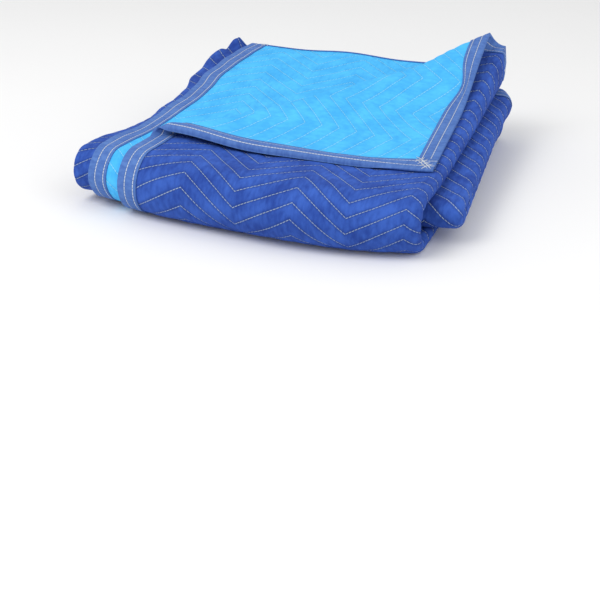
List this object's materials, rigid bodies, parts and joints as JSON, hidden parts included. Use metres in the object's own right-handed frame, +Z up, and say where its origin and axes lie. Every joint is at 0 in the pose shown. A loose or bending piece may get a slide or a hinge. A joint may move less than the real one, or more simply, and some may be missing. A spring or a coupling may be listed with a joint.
{
  "type": "moving blanket",
  "caption": "Quilted two-tone moving blanket with taped edges, folded into a thick square pad, its top layer's corner turned back to show the light inner face.",
  "frame": {"origin": "near the middle of the flat underside, on the surface that the folded blanket lies on", "axes": "+Z up; +Y from the large front bend towards the loose ends at the back; +X from the half fold towards the side with the double fold"},
  "size_m": [0.5117, 0.5595, 0.1607],
  "materials": {
    "quilted_cotton": "quilted woven cotton, dark blue outside and light blue inside",
    "binding_tape": "woven tape, stitched twice"
  },
  "bodies": {
    "root": {"quilted_cloth": "quilted_cotton", "tape_second_layer_side": "binding_tape", "tape_top_layer_side": "binding_tape", "tape_top_end": "binding_tape", "tape_inner_end": "binding_tape"}
  },
  "joints": []
}
